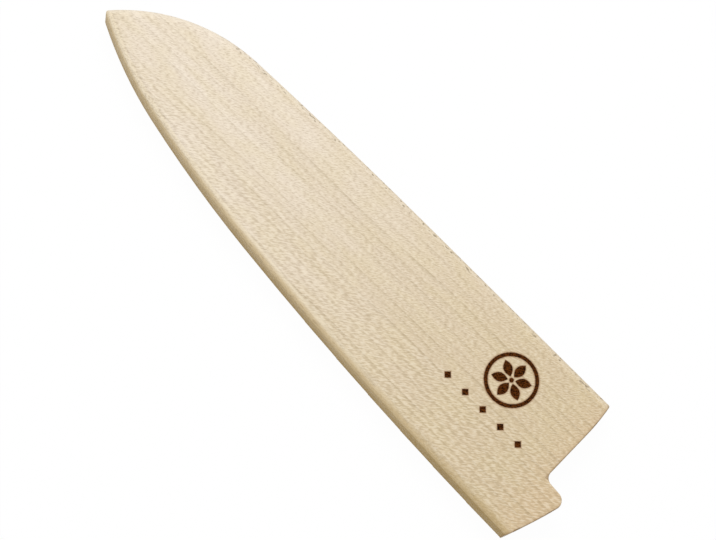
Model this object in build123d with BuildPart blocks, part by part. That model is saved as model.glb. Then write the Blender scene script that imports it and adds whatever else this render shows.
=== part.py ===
"""A wooden blade guard for a chef's knife, glued up from two cheeks and two strips round a flat slot."""

import os

from build123d import *

os.makedirs("parts", exist_ok=True)

# Driving dimensions, in millimetres.
# Lengths run from the sharp corner at the tip towards the mouth, drops run down from the spine line.
mouth_reach = 211.6
guard_width = 56.0
cheek_thickness = 4.5
slot_gap = 3.0
spine_wall = 4.2
edge_wall = 4.2
long_edge_round = 3.0

# The tip, where the spine curve meets the belly curve.
tip_drop = 26.25
tip_round = 1.6

# The mouth end: a nearly square mouth, a round notch and a tab that covers the blade's heel.
mouth_ease = 1.1
mouth_ease_drop = 13.0
notch_drop = 33.4
notch_round = 2.7
tab_reach = 10.4
tab_fall = 0.75
tab_round = 3.2
heel_reach = 3.45
heel_bow = 0.45
spine_corner_round = 1.1
heel_corner_round = 0.7
end_arris = 0.4

# Disc magnets, let into the cheeks beside the slot.
magnet_diameter = 8.0
magnet_thickness = 2.0
magnet_arris = 0.2
magnet_clearance = 0.1
magnet_sink = 0.2
magnet_wall_gap = 4.0
magnet_mouth_gap = 24.0
magnet_spacing = 78.0

# Shapes of the long curves: where the arcs join, as shares of the length and of the width,
# and the angle in degrees at which the belly leaves the heel.
spine_curve_start_share = 0.608
spine_joint_shares = (0.223, 0.028)
belly_joint_shares = ((0.4193, 0.86), (0.1732, 0.7076))
belly_heel_angle = 1.05

# How far helping shapes run past what they cut.
overrun = 10.0

guard_thickness = 2 * cheek_thickness + slot_gap
front_base = cheek_thickness + slot_gap
tip = Vector(0, -tip_drop)

# The helping shapes' outer limits.
far_end = mouth_reach + tab_reach + overrun
behind_tip = -overrun
below_belly = -guard_width - overrun
above_spine = overrun


def share_point(shares):
    """A point of a long curve, from its shares of the length and of the width."""
    return Vector(shares[0] * mouth_reach, -shares[1] * guard_width)


# The spine side, drawn from beyond the mouth to beyond the tip: straight, then easing into the tip curve.
spine_joint = share_point(spine_joint_shares)
with BuildLine() as spine_side:
    curve_start = Vector(spine_curve_start_share * mouth_reach, 0)
    Line((far_end, 0), curve_start)
    ease = TangentArc(curve_start, spine_joint, tangent=(-1, 0))
    curve = TangentArc(spine_joint, tip, tangent=ease % 1)
    spine_runout = tip + (curve % 1) * overrun
    Line(tip, spine_runout)

# The belly side, drawn from beyond the heel to beyond the tip: three arcs, each rounder than the last.
heel = Vector(mouth_reach + heel_reach, -guard_width)
belly_joints = [share_point(shares) for shares in belly_joint_shares]
with BuildLine() as belly_side:
    heel_direction = Vector(-1, 0).rotate(Axis.Z, -belly_heel_angle)
    belly_start = heel - heel_direction * (far_end - heel.X)
    Line(belly_start, heel)
    flat_arc = TangentArc(heel, belly_joints[0], tangent=heel_direction)
    middle_arc = TangentArc(belly_joints[0], belly_joints[1], tangent=flat_arc % 1)
    tip_arc = TangentArc(belly_joints[1], tip, tangent=middle_arc % 1)
    belly_runout = tip + (tip_arc % 1) * overrun
    Line(tip, belly_runout)

# Three regions: below the spine side, above the belly side and inside the mouth end.
with BuildSketch() as spine_region:
    with BuildLine():
        add(spine_side.line)
        Polyline(spine_runout, (spine_runout.X, below_belly), (far_end, below_belly), (far_end, 0))
    make_face()

with BuildSketch() as belly_region:
    with BuildLine():
        add(belly_side.line)
        Polyline(
            belly_runout,
            (belly_runout.X, above_spine),
            (belly_start.X, above_spine),
            belly_start,
        )
    make_face()

with BuildSketch() as mouth_region:
    with BuildLine():
        spine_corner = Vector(mouth_reach - mouth_ease, 0)
        mouth_top = Vector(mouth_reach, -mouth_ease_drop)
        notch = Vector(mouth_reach, -notch_drop)
        tab_corner = Vector(mouth_reach + tab_reach, -notch_drop - tab_fall)
        Line((spine_corner.X, above_spine), spine_corner)
        TangentArc(mouth_top, spine_corner, tangent=(0, 1))
        Polyline(mouth_top, notch, tab_corner)
        SagittaArc(tab_corner, heel, heel_bow)
        Polyline(
            heel,
            (heel.X, below_belly),
            (behind_tip, below_belly),
            (behind_tip, above_spine),
            (spine_corner.X, above_spine),
        )
    make_face()
    fillet(mouth_region.vertices().sort_by_distance(notch)[0], notch_round)
    fillet(mouth_region.vertices().sort_by_distance(tab_corner)[0], tab_round)

# The outline that all the boards share, with its three outer corners rounded too.
with BuildSketch() as outline:
    add(spine_region.sketch)
    add(belly_region.sketch, mode=Mode.INTERSECT)
    add(mouth_region.sketch, mode=Mode.INTERSECT)
    fillet(outline.vertices().sort_by_distance(tip)[0], tip_round)
    fillet(outline.vertices().sort_by_distance(spine_corner)[0], spine_corner_round)
    fillet(outline.vertices().sort_by_distance(heel)[0], heel_corner_round)

# The origin is the middle of the outline's box, on the face that the guard lies on.
middle = outline.sketch.bounding_box().center()


def level(height):
    """The drawing plane at a height over the resting face, placed so that the part is centred."""
    return Plane(origin=(-middle.X, -middle.Y, height))


def former(region, is_worked, radius):
    """A block over one region, with the top edges whose middle passes is_worked rounded."""
    with BuildPart() as block:
        with BuildSketch(level(front_base)):
            add(region)
        extrude(amount=cheek_thickness)
        top_edges = block.edges().group_by(Axis.Z)[-1]
        fillet([edge for edge in top_edges if is_worked(edge @ 0.5 + middle)], radius)
    return block.part


def on_spine_side(point):
    """True beside the spine side and its tip curve."""
    return point.Y > spine_runout.Y and point.X < far_end - overrun / 2


def on_belly_side(point):
    """True beside the belly side and its tip curve."""
    return point.Y < belly_runout.Y and belly_runout.X < point.X < far_end - overrun / 2


def on_mouth_end(point):
    """True beside the mouth, the notch, the tab and the slanted end."""
    return point.X > spine_corner.X - mouth_ease


spine_former = former(spine_region.sketch, on_spine_side, long_edge_round)
belly_former = former(belly_region.sketch, on_belly_side, long_edge_round)
mouth_former = former(mouth_region.sketch, on_mouth_end, end_arris)

# Magnets sit in a row under the spine wall, one near the mouth and one further in.
magnet_radius = magnet_diameter / 2
magnet_drop = spine_wall + magnet_wall_gap + magnet_radius
magnet_centres = {
    "mouth": (mouth_reach - magnet_mouth_gap, -magnet_drop),
    "middle": (mouth_reach - magnet_mouth_gap - magnet_spacing, -magnet_drop),
}
pocket_depth = magnet_thickness + magnet_sink

# The front cheek: the board on top, its long edges rounded and its end edges just eased, with two blind
# pockets in its inner face.
with BuildPart() as front_cheek:
    with BuildSketch(level(front_base)):
        add(outline.sketch)
    extrude(amount=cheek_thickness)
    add(spine_former, mode=Mode.INTERSECT)
    add(belly_former, mode=Mode.INTERSECT)
    add(mouth_former, mode=Mode.INTERSECT)
    with BuildSketch(level(front_base)):
        with Locations(*magnet_centres.values()):
            Circle(magnet_radius + magnet_clearance)
    extrude(amount=pocket_depth, mode=Mode.SUBTRACT)
front_cheek.part.label = "front_cheek"
export_step(front_cheek.part, "parts/front_cheek.step")

# The back cheek is the same board turned over.
with BuildPart() as back_cheek:
    mirror(front_cheek.part, about=level(guard_thickness / 2))
back_cheek.part.label = "back_cheek"
export_step(back_cheek.part, "parts/back_cheek.step")

# The layer between the cheeks: a band along each long side, meeting at the tip, open at the mouth.
with BuildSketch() as spacer:
    with BuildLine():
        offset(spine_side.line, amount=spine_wall, side=Side.LEFT, closed=True)
    make_face()
    with BuildLine():
        offset(belly_side.line, amount=edge_wall, side=Side.RIGHT, closed=True)
    make_face()
    add(outline.sketch, mode=Mode.INTERSECT)

# The strips butt against each other level with the tip.
tip_plane = Plane.XZ.offset(tip_drop)

with BuildPart() as spine_strip:
    with BuildSketch(level(cheek_thickness)):
        add(spacer.sketch)
        split(bisect_by=tip_plane, keep=Keep.BOTTOM)
    extrude(amount=slot_gap)
spine_strip.part.label = "spine_strip"
export_step(spine_strip.part, "parts/spine_strip.step")

with BuildPart() as edge_strip:
    with BuildSketch(level(cheek_thickness)):
        add(spacer.sketch)
        split(bisect_by=tip_plane, keep=Keep.TOP)
    extrude(amount=slot_gap)
edge_strip.part.label = "edge_strip"
export_step(edge_strip.part, "parts/edge_strip.step")

# Each magnet is glued against the blind end of its pocket, a little below the slot's wall.
magnet_seats = {
    "front": front_base + magnet_sink,
    "back": cheek_thickness - magnet_sink - magnet_thickness,
}
for cheek, seat in magnet_seats.items():
    for place, centre in magnet_centres.items():
        with BuildPart() as magnet:
            with BuildSketch(level(seat)):
                with Locations(centre):
                    Circle(magnet_radius)
            extrude(amount=magnet_thickness)
            fillet(magnet.edges().filter_by(GeomType.CIRCLE), magnet_arris)
        magnet.part.label = f"magnet_{cheek}_{place}"
        export_step(magnet.part, f"parts/magnet_{cheek}_{place}.step")

box = outline.sketch.bounding_box().size
print(f"outline {box.X:.2f} x {box.Y:.2f} mm, thickness {guard_thickness:.2f} mm")
print(f"slot {slot_gap:.2f} mm thick, {guard_width - spine_wall - edge_wall:.2f} mm high at the heel")
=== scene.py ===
# %% [markdown]
# # A wooden blade guard, dressed for its picture
# The guard is a flat sheath of pale beech for a chef's knife: two blade-shaped boards, the cheeks, with a
# thin strip of the same wood between them along each long side.

import math

import bpy
from mathutils import Matrix, Vector


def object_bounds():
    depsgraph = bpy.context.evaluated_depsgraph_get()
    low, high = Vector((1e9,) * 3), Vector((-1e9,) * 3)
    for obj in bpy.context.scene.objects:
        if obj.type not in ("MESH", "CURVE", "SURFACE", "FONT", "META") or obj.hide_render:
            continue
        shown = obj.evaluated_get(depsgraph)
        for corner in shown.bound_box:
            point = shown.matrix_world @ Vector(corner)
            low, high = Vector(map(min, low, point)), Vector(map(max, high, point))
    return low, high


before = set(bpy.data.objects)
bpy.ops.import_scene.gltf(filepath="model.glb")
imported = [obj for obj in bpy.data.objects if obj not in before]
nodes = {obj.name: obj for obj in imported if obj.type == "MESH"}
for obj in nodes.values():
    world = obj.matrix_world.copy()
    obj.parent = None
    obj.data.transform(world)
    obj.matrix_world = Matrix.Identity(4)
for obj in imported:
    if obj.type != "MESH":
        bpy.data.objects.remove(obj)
cad_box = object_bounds()
MM = 0.001
print("pieces:", sorted(nodes))
print("size in mm:", [round((high - low) / MM, 2) for low, high in zip(*cad_box)])

# %% [markdown]
# ## The camera
# The photograph looks almost straight down on the guard, from a little beyond the cutting edge, so a thin
# band of the rounded lower side shows. A Blender camera looks along its own -Z with +Y up in the picture.
# Aiming it with a matrix built from three directions, right, up and back, is the plainest way to get a
# picture that is turned by 45 degrees: the spine's direction decides which way is up.

# %% Camera
PICTURE_WIDTH = 716
SENSOR_WIDTH = 36.0
eye = Vector((52.3, -183.5, 662.0)) * MM
target = Vector((9.8, -0.5, 12.0)) * MM
pixels_per_distance = 2070.4
picture_up_angle = math.radians(134.39)

forward = (target - eye).normalized()
up_hint = Vector((math.cos(picture_up_angle), math.sin(picture_up_angle), 0))
right = forward.cross(up_hint).normalized()
up = right.cross(forward)
camera_data = bpy.data.cameras.new("camera")
camera_data.sensor_width = SENSOR_WIDTH
camera_data.lens = pixels_per_distance / PICTURE_WIDTH * SENSOR_WIDTH
camera_data.clip_start = 0.05
camera = bpy.data.objects.new("camera", camera_data)
camera.matrix_world = Matrix.Translation(eye) @ Matrix((right, up, -forward)).transposed().to_4x4()
bpy.context.scene.collection.objects.link(camera)
bpy.context.scene.camera = camera
print("lens in mm:", round(camera_data.lens, 1))

# %% [markdown]
# ## A finish is a calculation over the place on the board
# Every finish here is worked out from the place on the guard, in millimetres, so that its grain is cut
# through by each face as in real wood and nothing has to be wrapped round the shape. This class holds one
# material while it is put together. Its methods add one node each and return the node's output, which lets
# a finish be written like a formula.

# %% The material under construction
class Finish:
    def __init__(self, name):
        self.material = bpy.data.materials.new(name)
        self.material.use_nodes = True
        self.tree = self.material.node_tree
        self.shader = self.tree.nodes["Principled BSDF"]
        metres = self.tree.nodes.new("ShaderNodeTexCoord").outputs["Object"]
        to_mm = self.tree.nodes.new("ShaderNodeVectorMath")
        to_mm.operation = "SCALE"
        to_mm.inputs["Scale"].default_value = 1 / MM
        self.feed(to_mm.inputs[0], metres)
        self.place = to_mm.outputs[0]
        self.x, self.y, self.z = self.split(self.place)
        self.facing = self.tree.nodes.new("ShaderNodeNewGeometry").outputs["Normal"]
        self.facing_x, self.facing_y, self.facing_z = self.split(self.facing)

    def feed(self, socket, value):
        """Give a socket a plain value or the output of another node."""
        if isinstance(value, bpy.types.NodeSocket):
            self.tree.links.new(value, socket)
        else:
            socket.default_value = value

    def split(self, vector):
        """The three components of a vector."""
        node = self.tree.nodes.new("ShaderNodeSeparateXYZ")
        self.feed(node.inputs[0], vector)
        return node.outputs[0], node.outputs[1], node.outputs[2]

    def join(self, x, y, z):
        """A vector from its three components."""
        node = self.tree.nodes.new("ShaderNodeCombineXYZ")
        for socket, value in zip(node.inputs, (x, y, z)):
            self.feed(socket, value)
        return node.outputs[0]

    def aim(self, operation, *vectors):
        """One step of arithmetic over vectors."""
        node = self.tree.nodes.new("ShaderNodeVectorMath")
        node.operation = operation
        for socket, vector in zip(node.inputs, vectors):
            self.feed(socket, vector)
        return node.outputs["Vector"]

    def calc(self, operation, *values):
        """One step of arithmetic over numbers and outputs."""
        node = self.tree.nodes.new("ShaderNodeMath")
        node.operation = operation
        for socket, value in zip(node.inputs, values):
            self.feed(socket, value)
        return node.outputs["Value"]

    def ramp(self, value, start, end, low=0.0, high=1.0):
        """A soft step from low at the start to high at the end, level beyond both."""
        node = self.tree.nodes.new("ShaderNodeMapRange")
        node.interpolation_type = "SMOOTHSTEP"
        for socket, number in zip(node.inputs, (value, start, end, low, high)):
            self.feed(socket, number)
        return node.outputs["Result"]

    def cloud(self, cell, seed, turn=0.0, detail=1.0):
        """Soft noise from 0 to 1 with blots about as large as the cell, turned in the board's plane."""
        spread = self.tree.nodes.new("ShaderNodeMapping")
        spread.vector_type = "TEXTURE"
        spread.inputs["Rotation"].default_value = (0, 0, math.radians(turn))
        spread.inputs["Scale"].default_value = cell
        self.feed(spread.inputs["Vector"], self.place)
        noise = self.tree.nodes.new("ShaderNodeTexNoise")
        noise.noise_dimensions = "4D"
        noise.inputs["Scale"].default_value = 1.0
        noise.inputs["Detail"].default_value = detail
        noise.inputs["W"].default_value = seed
        self.feed(noise.inputs["Vector"], spread.outputs[0])
        return noise.outputs[0]

    def tint(self, share, first, second):
        """A colour on the way from the first to the second."""
        node = self.tree.nodes.new("ShaderNodeMix")
        node.data_type = "RGBA"
        self.feed(node.inputs["Factor"], share)
        self.feed(node.inputs[6], first)
        self.feed(node.inputs[7], second)
        return node.outputs[2]


def colour(red, green, blue):
    """A colour from the values, 0 to 255, that it shows on a screen."""
    linear = [((value / 255 + 0.055) / 1.055) ** 2.4 for value in (red, green, blue)]
    return (*linear, 1.0)


DARK_LINE = colour(154, 132, 90)
DARK_FLECK = colour(136, 110, 66)
PALE_FLECK = colour(247, 236, 214)
print("a dark fleck as light:", [round(part, 3) for part in DARK_FLECK[:3]])

# %% [markdown]
# ## Growth lines
# Beech grows a thin darker layer each year. Sawn almost square to those layers, the board shows them as
# straight, faint brown lines that run along the spine and climb a little towards the mouth. They are drawn
# as shells round a pith far below the cutting edge, so the end faces show arcs and the long sides hardly
# any lines. The years differ in width and strength, or the lines would look ruled.

# %% Growth lines
YEAR_WIDTH = 3.1
LINE_CLIMB = math.tan(math.radians(1.2))
PITH_DROP = 95.0
PITH_DEPTH = 22.0
FIRST_WIDE_YEAR = 33.0


def growth_years(wood, seed):
    """The number of years from the pith, with the part of the year behind the point."""
    across = wood.calc("MULTIPLY_ADD", wood.x, -LINE_CLIMB, wood.y)
    beside = wood.calc("POWER", wood.calc("ADD", across, PITH_DROP), 2.0)
    below = wood.calc("POWER", wood.calc("ADD", wood.z, PITH_DEPTH), 2.0)
    radius = wood.calc("SQRT", wood.calc("ADD", beside, below))
    sway = wood.cloud((70.0, 9.0, 9.0), seed + 1)
    years = wood.calc("DIVIDE", wood.calc("MULTIPLY_ADD", sway, 3.6, radius), YEAR_WIDTH)
    narrow_years = wood.calc("MINIMUM", wood.calc("SUBTRACT", years, FIRST_WIDE_YEAR), 0.0)
    return wood.calc("MULTIPLY_ADD", narrow_years, 0.2, years)


def growth_lines(wood, seed):
    """0 on plain wood, up to 1 on the dark end of a strong year."""
    years = growth_years(wood, seed)
    season = wood.calc("FRACT", years)
    drop = wood.ramp(season, 0.95, 1.0, 1.0, 0.0)
    thin = wood.calc("POWER", wood.ramp(season, 0.45, 0.93), 2.2)
    thin = wood.calc("MULTIPLY", thin, 0.7)
    both = wood.calc("MULTIPLY_ADD", wood.ramp(season, 0.1, 0.9), 0.3, thin)
    chance = wood.tree.nodes.new("ShaderNodeTexWhiteNoise")
    chance.noise_dimensions = "1D"
    wood.feed(chance.inputs["W"], wood.calc("FLOOR", years))
    strength = wood.calc("MULTIPLY_ADD", chance.outputs["Value"], 0.7, 0.3)
    fading = wood.ramp(wood.cloud((22.0, 3.0, 3.0), seed + 2), 0.3, 0.62, 0.35, 1.0)
    line = wood.calc("MULTIPLY", both, drop)
    return wood.calc("MULTIPLY", line, wood.calc("MULTIPLY", strength, fading))


board_width = (cad_box[1][1] - cad_box[0][1]) / MM
print("years across the board, about:", round(board_width / YEAR_WIDTH))

# %% [markdown]
# ## Ray flecks
# Beech is full of rays, thin ribbons of cells that run out from the pith. Where the saw cuts them they show
# as small slanting flecks, some darker and some paler than the wood about them. They are fine and faint
# along the spine. Along the cutting edge, where the face lies nearly along the rays, they are coarser and
# stand in wavering rows. The border between the two kinds wanders along the board.

# %% Ray flecks
FINE_FLECK = (1.35, 0.36, 0.4)
COARSE_FLECK = (2.1, 0.5, 0.5)


def ray_flecks(wood, seed):
    """How dark (above 0) or pale (below 0) the flecks are."""
    wander = wood.calc("MULTIPLY_ADD", wood.cloud((60.0, 8.0, 8.0), seed), 22.0, -11.0)
    coarse = wood.ramp(wood.calc("ADD", wood.y, wander), 2.0, -8.0)
    fine = wood.cloud(FINE_FLECK, seed + 3, turn=33.0)
    fine = wood.calc("MULTIPLY_ADD", fine, 10.0, -5.0)
    broad = wood.ramp(wood.cloud(COARSE_FLECK, seed + 4, turn=35.0), 0.34, 0.66, -1.7, 1.7)
    bend = wood.cloud((7.0, 3.5, 5.0), seed + 8)
    rows = wood.calc("SINE", wood.calc("MULTIPLY_ADD", wood.y, 3.4, wood.calc("MULTIPLY", bend, 11.0)))
    broad = wood.calc("MULTIPLY_ADD", rows, 0.6, wood.calc("MULTIPLY", broad, 0.94))
    soft = wood.calc("MULTIPLY", fine, wood.calc("MULTIPLY_ADD", coarse, -0.45, 1.0))
    soft = wood.calc("MULTIPLY", soft, wood.ramp(wood.x, 10.0, 90.0, 1.0, 1.14))
    gain = wood.calc("MULTIPLY", coarse, wood.ramp(wood.x, -80.0, 100.0, 0.8, 0.96))
    return wood.calc("MULTIPLY_ADD", broad, gain, soft)


print("fleck sizes in mm:", FINE_FLECK[:2], "and", COARSE_FLECK[:2])

# %% [markdown]
# ## The tone of the board
# Raw beech drifts in tone, with long pinkish bands along the grain and faint yellow blots. The ground runs
# from whiter at the tip to darker and more straw-coloured at the mouth: partly the wood's own drift, partly
# painted light, a brighter tip with a pale sheen and less light towards the mouth. The lines and flecks are
# laid over that ground, each as a light tint, so that none of them is a hard mark.

# %% Tone, lines and flecks
TIP_TONE_AND_LIGHT = (234, 220, 201)
MOUTH_TONE_AND_SHADE = (214, 193, 157)


def board_tone(wood, seed, lines, flecks):
    """The colour of a sanded face, before its edges are treated."""
    # Tip to mouth: partly the wood's tone, partly painted light, the tip lit brighter with a pale sheen and
    # the mouth darker.
    ground = wood.tint(wood.ramp(wood.x, -75.0, 115.0), colour(*TIP_TONE_AND_LIGHT), colour(*MOUTH_TONE_AND_SHADE))
    bands = wood.ramp(wood.cloud((90.0, 5.0, 5.0), seed + 5), 0.3, 0.7, 0.0, 0.28)
    ground = wood.tint(bands, ground, colour(206, 185, 150))
    blots = wood.ramp(wood.cloud((14.0, 6.0, 6.0), seed + 6), 0.35, 0.7, 0.0, 0.25)
    ground = wood.tint(blots, ground, colour(222, 205, 160))
    warmth = wood.ramp(wood.x, 88.0, 108.0, 0.0, 0.4)
    ground = wood.tint(warmth, ground, colour(218, 186, 146))
    line_share = wood.calc("MULTIPLY", lines, wood.ramp(wood.x, -90.0, 90.0, 0.27, 0.46))
    toned = wood.tint(line_share, ground, DARK_LINE)
    toned = wood.tint(wood.ramp(flecks, 0.0, 1.6, 0.0, 0.23), toned, DARK_FLECK)
    return wood.tint(wood.ramp(flecks, 0.0, -1.6, 0.0, 0.32), toned, PALE_FLECK)


print("the ground darkens towards the mouth by:", [a - b for a, b in zip(TIP_TONE_AND_LIGHT, MOUTH_TONE_AND_SHADE)])

# %% [markdown]
# ## How far an edge has rolled over
# Both long edges are rounded over on the outside, and the wood changes as it rolls over from the face to the
# upright side. How far it has rolled over could be read from the way the solid faces, but that is uneven
# along a long thin round. The round is a quarter of a circle, so the height alone tells it just as well, and
# gives an even band along the whole edge.

# %% The rounds' heights
MIDDLE_HEIGHT = 6.0
SLOT_HALF = 1.5
ROUND_START = 3.0
EDGE_ROUND = 3.0


def rise_and_tilt(wood):
    """On a round, how far up it the point is and how far over it leans there: 1 and 0 on a face."""
    from_middle = wood.calc("ABSOLUTE", wood.calc("SUBTRACT", wood.z, MIDDLE_HEIGHT))
    rise = wood.calc("DIVIDE", wood.calc("SUBTRACT", from_middle, ROUND_START), EDGE_ROUND)
    rise = wood.calc("MINIMUM", wood.calc("MAXIMUM", rise, 0.0), 1.0)
    return rise, wood.calc("SQRT", wood.calc("SUBTRACT", 1.0, wood.calc("POWER", rise, 2.0)))


def edge_tilt(wood):
    """How far a long edge has rolled over: 0 on a face, 1 on an upright side, 0 on the ends."""
    rise, tilt = rise_and_tilt(wood)
    off_flat = wood.ramp(wood.calc("ABSOLUTE", wood.facing_z), 0.999, 0.97)
    off_end = wood.ramp(wood.facing_x, 0.8, 0.5)
    return wood.calc("MULTIPLY", tilt, wood.calc("MULTIPLY", off_flat, off_end))


round_ends = MIDDLE_HEIGHT + ROUND_START, MIDDLE_HEIGHT + ROUND_START + EDGE_ROUND
print("the front round runs between the heights in mm:", round_ends)

# %% [markdown]
# ## The colours of the rounds
# The lower edge, seen in the photograph as a thin band, first pales with painted light and then turns golden
# as it rolls over, partly the wood's warmer colour and partly painted shade, with the flecks still on it.
# Along the spine's round a faint painted highlight pales the wood, and small dark spots are left where the
# plane lifted the grain. Each is a tint whose share follows the roll, so it can be laid over any board.

# %% The rounds' colours
GOLDEN_AND_SHADED = (216, 182, 112)


def belly_round_painted_light_and_flecks(wood, toned, flecks, tilt, below, to_tip):
    """The lower edge where it starts to roll over: whiter with painted light, with the flecks laid over it
    again.
    """
    start = wood.calc("MULTIPLY_ADD", to_tip, 0.1, 0.1)
    end = wood.calc("MULTIPLY_ADD", to_tip, 0.2, 0.35)
    share = wood.calc("MULTIPLY_ADD", to_tip, 0.2, wood.ramp(wood.x, 90.0, 10.0, 0.2, 0.55))
    share = wood.calc("MULTIPLY", share, below)
    share = wood.calc("MULTIPLY", share, wood.ramp(tilt, start, end))
    # Painted light: the start of the lower round is paled, most towards the tip.
    toned = wood.tint(share, toned, colour(254, 238, 208))
    share = wood.calc("MULTIPLY", below, wood.ramp(tilt, 0.05, 0.3))
    share = wood.calc("MULTIPLY", share, wood.calc("MULTIPLY_ADD", to_tip, 0.18, 0.04))
    return wood.tint(wood.calc("MULTIPLY", share, wood.ramp(flecks, -0.4, 1.4)), toned, DARK_FLECK)


def golden_and_shaded_round(wood, toned, tilt, below, to_tip):
    """Both long edges further down: golden, partly the wood's warmer colour and partly painted shade, much
    more so on the lower, shaded one.
    """
    start = wood.calc("MULTIPLY_ADD", to_tip, 0.35, wood.ramp(wood.x, 10.0, 70.0, 0.35, 0.15))
    end = wood.calc("MULTIPLY_ADD", to_tip, 0.13, 0.85)
    share = wood.calc("MULTIPLY_ADD", below, 0.4, 0.1)
    # Partly painted shade: the golden share is larger on the lower round, which the light reaches less.
    share = wood.calc("MULTIPLY", wood.ramp(tilt, start, end), share)
    return wood.tint(share, toned, colour(*GOLDEN_AND_SHADED))


def spine_spots(wood, seed, toned, tilt, above):
    """Small dark spots along the spine's round, left out on the steep curve of the tip."""
    spots = wood.ramp(wood.cloud((1.3, 0.8, 0.8), seed + 12, detail=0.0), 0.6, 0.72, 0.0, 0.6)
    band = wood.calc("MULTIPLY", wood.ramp(tilt, 0.15, 0.45), wood.ramp(tilt, 1.0, 0.85))
    band = wood.calc("MULTIPLY", band, wood.ramp(wood.x, -84.0, -64.0))
    share = wood.calc("MULTIPLY", spots, wood.calc("MULTIPLY", band, above))
    return wood.tint(share, toned, colour(106, 84, 44))


print("golden round as light:", [round(part, 3) for part in colour(*GOLDEN_AND_SHADED)[:3]])

# %% [markdown]
# ## The long sides
# A long side cuts the rays across, so below the round it is browner, yellower wood and darker with painted
# shade, with short dark dashes along it. Painted light makes it paler on its upper half and towards the tip.

# %% The long sides
# Partly the side grain's brown, partly painted shade.
BROWNED_AND_SHADED = (182, 151, 88)


def cut_sides(wood, seed, toned, flecks):
    """The colour with the long sides laid over it, and where a face is a side, from 0 to 1."""
    tilt = edge_tilt(wood)
    below = wood.ramp(wood.facing_y, -0.1, -0.3)
    above = wood.ramp(wood.facing_y, 0.0, 0.1)
    to_tip = wood.ramp(wood.x, -10.0, -95.0)
    toned = belly_round_painted_light_and_flecks(wood, toned, flecks, tilt, below, to_tip)
    # Painted highlight: the top of the spine's round is paled where it would catch the light.
    painted_spine_highlight = wood.calc("MULTIPLY", wood.ramp(tilt, 0.1, 0.5, 0.0, 0.25), above)
    toned = wood.tint(painted_spine_highlight, toned, colour(250, 240, 222))
    toned = golden_and_shaded_round(wood, toned, tilt, below, to_tip)
    side = wood.ramp(tilt, 0.9, 0.995)
    # Painted light and shade on the side: paler on its upper half and towards the tip, darker low down.
    painted_light_on_side = wood.calc("MULTIPLY", wood.ramp(wood.z, 4.0, 9.0), wood.ramp(wood.x, 90.0, 30.0, 0.0, 0.4))
    painted_light_on_side = wood.calc("ADD", painted_light_on_side, wood.ramp(wood.x, 10.0, -90.0, 0.0, 0.2))
    browned_and_shaded = wood.calc("MULTIPLY", side, wood.calc("SUBTRACT", 0.7, painted_light_on_side))
    toned = wood.tint(browned_and_shaded, toned, colour(*BROWNED_AND_SHADED))
    dashes = wood.ramp(wood.cloud((2.2, 0.55, 0.5), seed + 7, detail=0.0), 0.6, 0.74)
    dashes = wood.calc("MULTIPLY", dashes, wood.ramp(tilt, 0.3, 0.8, 0.0, 0.22))
    smooth_heel = wood.calc("MULTIPLY", below, wood.ramp(wood.x, 0.0, 50.0, 0.0, 0.7))
    dashes = wood.calc("MULTIPLY", dashes, wood.calc("SUBTRACT", 1.0, smooth_heel))
    toned = wood.tint(dashes, toned, colour(112, 78, 44))
    return spine_spots(wood, seed, toned, tilt, above), side


print("browned side as light:", [round(part, 3) for part in colour(*BROWNED_AND_SHADED)[:3]])

# %% [markdown]
# ## Ends and seams
# The end grain at the mouth drinks in dirt and looks darker, full of pores, with the years as arcs, and the
# faces brown a little just before it. On the sides a hair of glue shows between the cheeks and the strips.

# %% Ends and seams
def end_grain(wood, seed, toned, lines):
    """The colour with the end grain laid over it: darker, with arcs, pale rays and fine pores."""
    grain = wood.tint(wood.calc("MULTIPLY", lines, 0.6), colour(190, 158, 108), colour(140, 102, 58))
    rays = wood.ramp(wood.cloud((0.5, 3.5, 0.16), seed + 9), 0.54, 0.68, 0.0, 0.4)
    grain = wood.tint(rays, grain, colour(214, 188, 144))
    pores = wood.ramp(wood.cloud((1.0, 0.14, 0.14), seed + 11), 0.56, 0.72, 0.0, 0.45)
    grain = wood.tint(pores, grain, colour(104, 72, 40))
    return wood.tint(wood.ramp(wood.facing_x, 0.55, 0.9, 0.0, 0.9), toned, grain)


def distance_to_end(wood):
    """How far in from the mouth end or the tab's bowed, slanted end, in millimetres along the board."""
    tab_middle, tab_half, tab_bow, notch_height = -17.1, 10.9, 0.46, -5.5
    along_tab = wood.calc("DIVIDE", wood.calc("SUBTRACT", wood.y, tab_middle), tab_half)
    bow = wood.calc("MULTIPLY_ADD", wood.calc("POWER", along_tab, 2.0), -tab_bow, tab_bow)
    slanted_end = wood.calc("ADD", wood.calc("MULTIPLY_ADD", wood.y, 0.318, 112.96), bow)
    mouth_x, mouth_ease, straight_until, ease_length = 100.6, 1.1, 15.0, 13.0
    past_straight = wood.calc("MAXIMUM", wood.calc("SUBTRACT", wood.y, straight_until), 0.0)
    past_straight = wood.calc("DIVIDE", past_straight, ease_length)
    mouth_end = wood.calc("MULTIPLY_ADD", wood.calc("POWER", past_straight, 2.0), -mouth_ease, mouth_x)
    on_tab = wood.calc("LESS_THAN", wood.y, notch_height)
    longer = wood.calc("MULTIPLY", on_tab, wood.calc("SUBTRACT", slanted_end, mouth_end))
    return wood.calc("SUBTRACT", wood.calc("ADD", mouth_end, longer), wood.x)


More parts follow.
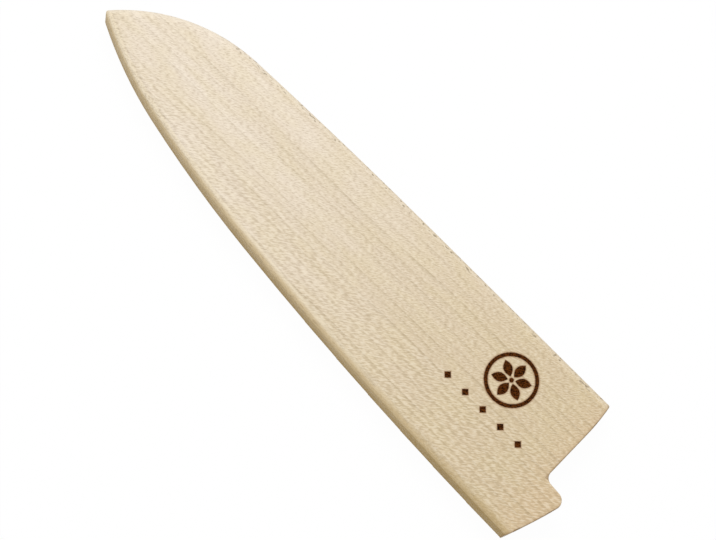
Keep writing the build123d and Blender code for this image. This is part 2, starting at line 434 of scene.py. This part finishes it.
def darker_ends_and_seams(wood, toned):
    """Brown the faces just before the ends, and draw the glue seams between the layers."""
    to_end = distance_to_end(wood)
    # The faces are tinted darker just before the ends.
    toned = wood.tint(wood.ramp(to_end, 1.4, 0.3, 0.0, 0.3), toned, colour(172, 132, 80))
    toned = wood.tint(wood.ramp(to_end, 0.6, 0.2, 0.0, 0.4), toned, colour(124, 96, 58))
    from_middle = wood.calc("ABSOLUTE", wood.calc("SUBTRACT", wood.z, MIDDLE_HEIGHT))
    to_seam = wood.calc("ABSOLUTE", wood.calc("SUBTRACT", from_middle, SLOT_HALF))
    upright = wood.ramp(wood.calc("ABSOLUTE", wood.facing_z), 0.4, 0.2)
    seam = wood.calc("MULTIPLY", upright, wood.ramp(to_seam, 0.14, 0.04, 0.0, 0.5))
    return wood.tint(seam, toned, colour(120, 88, 50))


print("seams at the heights in mm:", MIDDLE_HEIGHT - SLOT_HALF, "and", MIDDLE_HEIGHT + SLOT_HALF)

# %% [markdown]
# ## Relief and sheen
# The wood is only sanded, not varnished, so its sheen is weak and uneven: the flecks differ a little in
# roughness from the wood about them and the lines stand a few hundredths of a millimetre lower. The sides
# are duller than the faces. The light on the long rounds follows the height too, as their colours do, so
# that they shine as evenly as planed wood.

# %% Relief and sheen
RELIEF_DEPTH = 0.06
NOTCH_FROM_X = 99.4
NOTCH_FROM_Y = -9.5


def rolled_facing(wood):
    """The way the surface faces, taken from the height on the long rounds and from the solid elsewhere."""
    rise, tilt = rise_and_tilt(wood)
    outward = wood.aim("NORMALIZE", wood.join(wood.facing_x, wood.facing_y, 0.0))
    front_or_back = wood.calc("SIGN", wood.calc("SUBTRACT", wood.z, MIDDLE_HEIGHT))
    upward = wood.calc("MULTIPLY", rise, front_or_back)
    rolled = wood.aim("MULTIPLY", outward, wood.join(tilt, tilt, 0.0))
    rolled = wood.aim("ADD", rolled, wood.join(0.0, 0.0, upward))
    outer = wood.calc("GREATER_THAN", wood.calc("MULTIPLY", wood.facing_z, front_or_back), -0.05)
    on_round = wood.calc("MULTIPLY", outer, wood.calc("GREATER_THAN", rise, 0.0))
    on_round = wood.calc("MULTIPLY", on_round, wood.ramp(wood.facing_x, 0.6, 0.3))
    by_mouth = wood.calc("GREATER_THAN", wood.x, NOTCH_FROM_X)
    by_notch = wood.calc("MULTIPLY", by_mouth, wood.calc("GREATER_THAN", wood.y, NOTCH_FROM_Y))
    on_round = wood.calc("MULTIPLY", on_round, wood.calc("SUBTRACT", 1.0, by_notch))
    change = wood.aim("SUBTRACT", rolled, wood.facing)
    change = wood.aim("MULTIPLY", change, wood.join(on_round, on_round, on_round))
    return wood.aim("NORMALIZE", wood.aim("ADD", wood.facing, change))


def surface(wood, flecks, dull, height):
    """Set the roughness, the strength of the sheen and the fine relief of sanded wood."""
    wood.feed(wood.shader.inputs["Roughness"], wood.calc("MULTIPLY_ADD", flecks, 0.05, 0.52))
    wood.feed(wood.shader.inputs["Specular IOR Level"], wood.calc("SUBTRACT", 0.5, dull))
    bump = wood.tree.nodes.new("ShaderNodeBump")
    bump.inputs["Strength"].default_value = 0.5
    bump.inputs["Distance"].default_value = RELIEF_DEPTH * MM
    wood.feed(bump.inputs["Height"], height)
    wood.feed(bump.inputs["Normal"], rolled_facing(wood))
    wood.feed(wood.shader.inputs["Normal"], bump.outputs[0])


print("relief for one step of height in mm:", RELIEF_DEPTH)

# %% [markdown]
# ## The burnt ornament
# Near the mouth the front face carries a plain ornament, as a hot stamp would burn it in: a ring round six
# leaves, over a row of small diamonds. Folding the angle round the centre into one twelfth of a turn and
# back lets one leaf stand for all six. Each shape is a signed distance, above 0 inside, so the largest of
# them is the whole figure and one soft step gives its scorched edge.

# %% The ornament's shape
CENTRE_X, CENTRE_Y = 70.6, 9.8
RING_RADIUS, LINE_HALF, DOT_RADIUS = 8.6, 0.65, 0.8
LEAF_MIDDLE, LEAF_HALF_LENGTH, LEAF_HALF_WIDTH = 4.1, 2.8, 1.55
DIAMOND_SPACING, DIAMOND_DROP, DIAMOND_HALF = 8.0, 13.9, 1.45


def leaves_and_ring(wood, dx, dy):
    """The ring, its six leaves and the dot in the middle, as a signed distance."""
    square = wood.calc("ADD", wood.calc("POWER", dx, 2.0), wood.calc("POWER", dy, 2.0))
    radius = wood.calc("SQRT", square)
    from_ring = wood.calc("ABSOLUTE", wood.calc("SUBTRACT", radius, RING_RADIUS))
    ring = wood.calc("SUBTRACT", LINE_HALF, from_ring)
    twelfth = math.radians(30)
    fold = wood.calc("PINGPONG", wood.calc("ADD", wood.calc("ARCTAN2", dy, dx), twelfth), twelfth)
    along = wood.calc("SUBTRACT", wood.calc("MULTIPLY", radius, wood.calc("COSINE", fold)), LEAF_MIDDLE)
    aside = wood.calc("MULTIPLY", radius, wood.calc("SINE", fold))
    taper = wood.calc("POWER", wood.calc("DIVIDE", along, LEAF_HALF_LENGTH), 2.0)
    leaf_edge = wood.calc("MULTIPLY_ADD", taper, -LEAF_HALF_WIDTH, LEAF_HALF_WIDTH)
    leaves = wood.calc("SUBTRACT", leaf_edge, aside)
    dot = wood.calc("SUBTRACT", DOT_RADIUS, radius)
    return wood.calc("MAXIMUM", wood.calc("MAXIMUM", ring, leaves), dot)


def diamonds(wood, dx, dy):
    """The row of five diamonds, as a signed distance."""
    beside = wood.calc("PINGPONG", dx, DIAMOND_SPACING / 2)
    below = wood.calc("ABSOLUTE", wood.calc("ADD", dy, DIAMOND_DROP))
    row = wood.calc("SUBTRACT", DIAMOND_HALF, wood.calc("ADD", beside, below))
    in_row = wood.calc("SUBTRACT", 2.25 * DIAMOND_SPACING, wood.calc("ABSOLUTE", dx))
    return wood.calc("MINIMUM", row, in_row)


def ornament(wood, seed):
    """A signed distance in millimetres, above 0 inside the burnt lines, shaken a little."""
    dx = wood.calc("SUBTRACT", wood.x, CENTRE_X)
    dy = wood.calc("SUBTRACT", wood.y, CENTRE_Y)
    shake = wood.calc("MULTIPLY_ADD", wood.cloud((0.8, 0.8, 0.8), seed + 20), 0.24, -0.12)
    figure = wood.calc("MAXIMUM", leaves_and_ring(wood, dx, dy), diamonds(wood, dx, dy))
    return wood.calc("ADD", figure, shake)


print("ring width in mm:", 2 * (RING_RADIUS + LINE_HALF))
print("row width in mm:", 4 * DIAMOND_SPACING + 2 * DIAMOND_HALF)

# %% [markdown]
# ## Burning it in
# A hot stamp chars the wood under it unevenly, since the hard rays resist it, and browns a thin halo round
# each line. The halo is laid first and the char over it, with the flecks in its patches.

# %% Burning it in
def burn(wood, seed, toned, flecks):
    """The board's colour with the ornament, and how burnt it is from 0 to 1."""
    inside = ornament(wood, seed)
    scorched = wood.ramp(inside, -0.65, 0.0, 0.0, 0.55)
    toned = wood.tint(scorched, toned, colour(150, 98, 44))
    burnt = wood.ramp(inside, -0.13, 0.12)
    patches = wood.cloud((0.5, 0.4, 0.5), seed + 21, detail=2.0)
    patches = wood.calc("MULTIPLY_ADD", flecks, 0.08, patches)
    char = wood.tint(wood.ramp(patches, 0.35, 0.65), colour(92, 48, 14), colour(34, 15, 4))
    return wood.tint(burnt, toned, char), burnt


print("darkest char as light:", [round(part, 4) for part in colour(34, 15, 4)[:3]])

# %% [markdown]
# ## The cheeks
# Both cheeks are cut from pale beech, each from its own piece of the board, so the two have different
# seeds. Only the front one carries the ornament. The finish is put together in the order in which a maker
# would come to it: the wood itself, its cut sides and ends, the darker bands before the ends and the seams,
# and the burnt mark last.

# %% Dress the cheeks
BOARD_SEEDS = {"front_cheek": 10.0, "back_cheek": 40.0, "spine_strip": 70.0, "edge_strip": 90.0}


def beech(board, with_ornament=False):
    """A board's sanded beech finish, with or without the burnt ornament."""
    seed = BOARD_SEEDS[board]
    wood = Finish(f"{board}_beech")
    lines = growth_lines(wood, seed)
    flecks = ray_flecks(wood, seed)
    toned = board_tone(wood, seed, lines, flecks)
    toned, side = cut_sides(wood, seed, toned, flecks)
    toned = end_grain(wood, seed, toned, lines)
    toned = darker_ends_and_seams(wood, toned)
    dull = wood.calc("MULTIPLY", side, 0.4)
    height = wood.calc("MULTIPLY_ADD", flecks, -0.35, wood.calc("MULTIPLY", lines, -1.0))
    if with_ornament:
        toned, burnt = burn(wood, seed, toned, flecks)
        dull = wood.calc("MAXIMUM", dull, wood.calc("MULTIPLY", burnt, 0.49))
        height = wood.calc("MULTIPLY_ADD", burnt, -3.0, height)
    wood.feed(wood.shader.inputs["Base Color"], toned)
    surface(wood, flecks, dull, height)
    return wood.material


def dress(name, finish):
    """Give a piece its finish, and say how large the piece is."""
    nodes[name].data.materials[0] = finish
    print(name, "in mm:", [round(side / MM, 1) for side in nodes[name].dimensions])


dress("front_cheek", beech("front_cheek", with_ornament=True))
dress("back_cheek", beech("back_cheek"))

# %% [markdown]
# ## The strips
# The strips between the cheeks are sawn from the same stock. Only their narrow outer edges and their ends at
# the mouth can be seen, as a middle layer between the two seams. A seed each gives them their own grain, so
# the three layers of the sandwich can be told apart.

# %% Dress the strips
for strip in ("spine_strip", "edge_strip"):
    dress(strip, beech(strip))

# %% [markdown]
# ## The magnets
# Four nickel-plated discs are hidden in the cheeks beside the slot. Plated steel is bright and a little
# blotchy, with fine scratches, so the roughness and the tint vary over small patches and the relief is
# drawn out in one direction like the marks of a polishing cloth.

# %% Dress the magnets
nickel = Finish("magnet_nickel")
patches = nickel.cloud((1.5, 1.5, 1.5), 5.0, detail=3.0)
scratches = nickel.cloud((3.0, 0.06, 0.06), 6.0, turn=35.0, detail=2.0)
plating = nickel.tint(nickel.ramp(patches, 0.35, 0.7), colour(214, 210, 200), colour(188, 182, 168))
nickel.feed(nickel.shader.inputs["Base Color"], plating)
nickel.feed(nickel.shader.inputs["Roughness"], nickel.calc("MULTIPLY_ADD", patches, 0.25, 0.15))
nickel.shader.inputs["Metallic"].default_value = 1.0
relief = nickel.tree.nodes.new("ShaderNodeBump")
relief.inputs["Strength"].default_value = 0.3
relief.inputs["Distance"].default_value = 0.01 * MM
nickel.feed(relief.inputs["Height"], scratches)
nickel.feed(nickel.shader.inputs["Normal"], relief.outputs[0])
for name in nodes:
    if name.startswith("magnet"):
        dress(name, nickel.material)

# %% [markdown]
# ## The floor
# The photograph's ground is pure white with no shadow to speak of. The floor looks white to the camera and
# in reflections, mostly by a glow of strength 1, and keeps a little of its own shading for a faint contact
# shadow. For light that bounces it is a mid grey, so the guard's lower side stays as dark as in the picture.

# %% Floor
FLOOR_DROP = 0.1
FLOOR_SIZE = 6.0
GLOW_SHARE = 0.97
bpy.ops.mesh.primitive_plane_add(size=FLOOR_SIZE, location=(0, 0, -FLOOR_DROP * MM))
floor = bpy.context.object
floor.name = "floor"
paper = Finish("floor_paper")
rays = paper.tree.nodes.new("ShaderNodeLightPath")
mirrored = paper.calc("MAXIMUM", rays.outputs["Is Glossy Ray"], rays.outputs["Is Transmission Ray"])
seen = paper.calc("MAXIMUM", rays.outputs["Is Camera Ray"], mirrored)
fibres = paper.ramp(paper.cloud((0.6, 0.6, 0.6), 3.0, detail=2.0), 0.3, 0.7, 0.0, 0.03)
bounce = paper.tint(fibres, (0.5, 0.5, 0.5, 1.0), (0.3, 0.3, 0.3, 1.0))
matt = paper.tree.nodes.new("ShaderNodeBsdfDiffuse")
paper.feed(matt.inputs["Color"], paper.tint(seen, bounce, (1.0, 1.0, 1.0, 1.0)))
glow = paper.tree.nodes.new("ShaderNodeEmission")
blend = paper.tree.nodes.new("ShaderNodeMixShader")
paper.feed(blend.inputs[0], paper.calc("MULTIPLY", seen, GLOW_SHARE))
paper.feed(blend.inputs[1], matt.outputs[0])
paper.feed(blend.inputs[2], glow.outputs[0])
paper.feed(paper.tree.nodes["Material Output"].inputs["Surface"], blend.outputs[0])
floor.data.materials.append(paper.material)
print("floor below the guard by, in mm:", FLOOR_DROP)

# %% [markdown]
# ## Light
# The picture's light is very even: a wide pale dome with one weak softbox beyond the spine, on the tip's
# side. The dome lights the face and the rounded edges alike, and the softbox gives the spine's arris its
# faint bright line, with a painted highlight in the wood's colour on the spine's round. More of the light is
# painted into the wood: the brighter tip and the lit and shaded rounds and sides. Together they come to a
# level at which a colour looks as it is written.

# %% Dome and softbox
DOME_STRENGTH = 0.69
SOFTBOX_PLACE = (-0.55, 0.5, 1.15)
SOFTBOX_SIZE = 0.7
SOFTBOX_WATTS = 8.0
bpy.context.scene.view_settings.view_transform = "Standard"
world = bpy.data.worlds.new("dome")
world.use_nodes = True
dome = world.node_tree.nodes["Background"]
dome.inputs["Color"].default_value = (1.0, 1.0, 1.0, 1.0)
dome.inputs["Strength"].default_value = DOME_STRENGTH
bpy.context.scene.world = world

softbox = bpy.data.lights.new("softbox", "AREA")
softbox.shape = "SQUARE"
softbox.size = SOFTBOX_SIZE
softbox.energy = SOFTBOX_WATTS
stand = bpy.data.objects.new("softbox", softbox)
stand.location = SOFTBOX_PLACE
stand.rotation_euler = (-stand.location).to_track_quat("-Z", "Y").to_euler()
bpy.context.scene.collection.objects.link(stand)
print("softbox distance in m:", round(stand.location.length, 2))
